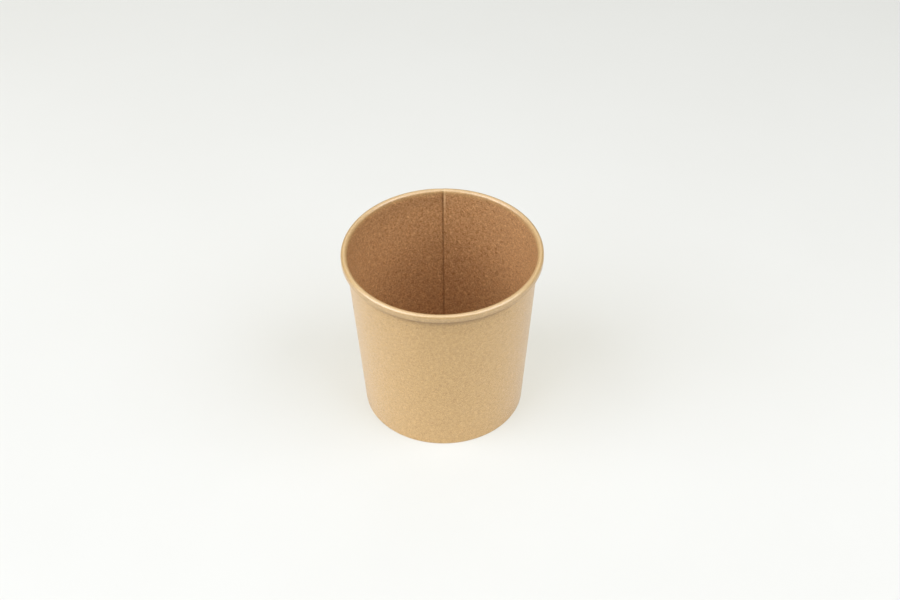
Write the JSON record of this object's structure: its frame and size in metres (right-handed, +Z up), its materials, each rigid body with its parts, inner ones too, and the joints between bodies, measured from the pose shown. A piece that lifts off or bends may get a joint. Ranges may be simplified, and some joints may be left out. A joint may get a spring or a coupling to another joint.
{
  "type": "paper soup container",
  "caption": "Tapered round kraft paper soup container with a rolled rim, a lapped side seam at the back and a recessed base held in a turned-up hem; it takes a press-on lid.",
  "frame": {"origin": "on the container's axis, on the surface it stands on", "axes": "+Z up along the axis, +Y towards the side seam at the back, -Y towards the front"},
  "size_m": [0.09, 0.09, 0.085],
  "materials": {
    "wall_board": "brown kraft board, matte outside, thin food-safe film inside",
    "base_board": "brown kraft board, thin food-safe film on the upper side"
  },
  "bodies": {
    "root": {"side_wall": "wall_board", "base_disc": "base_board"}
  },
  "joints": []
}
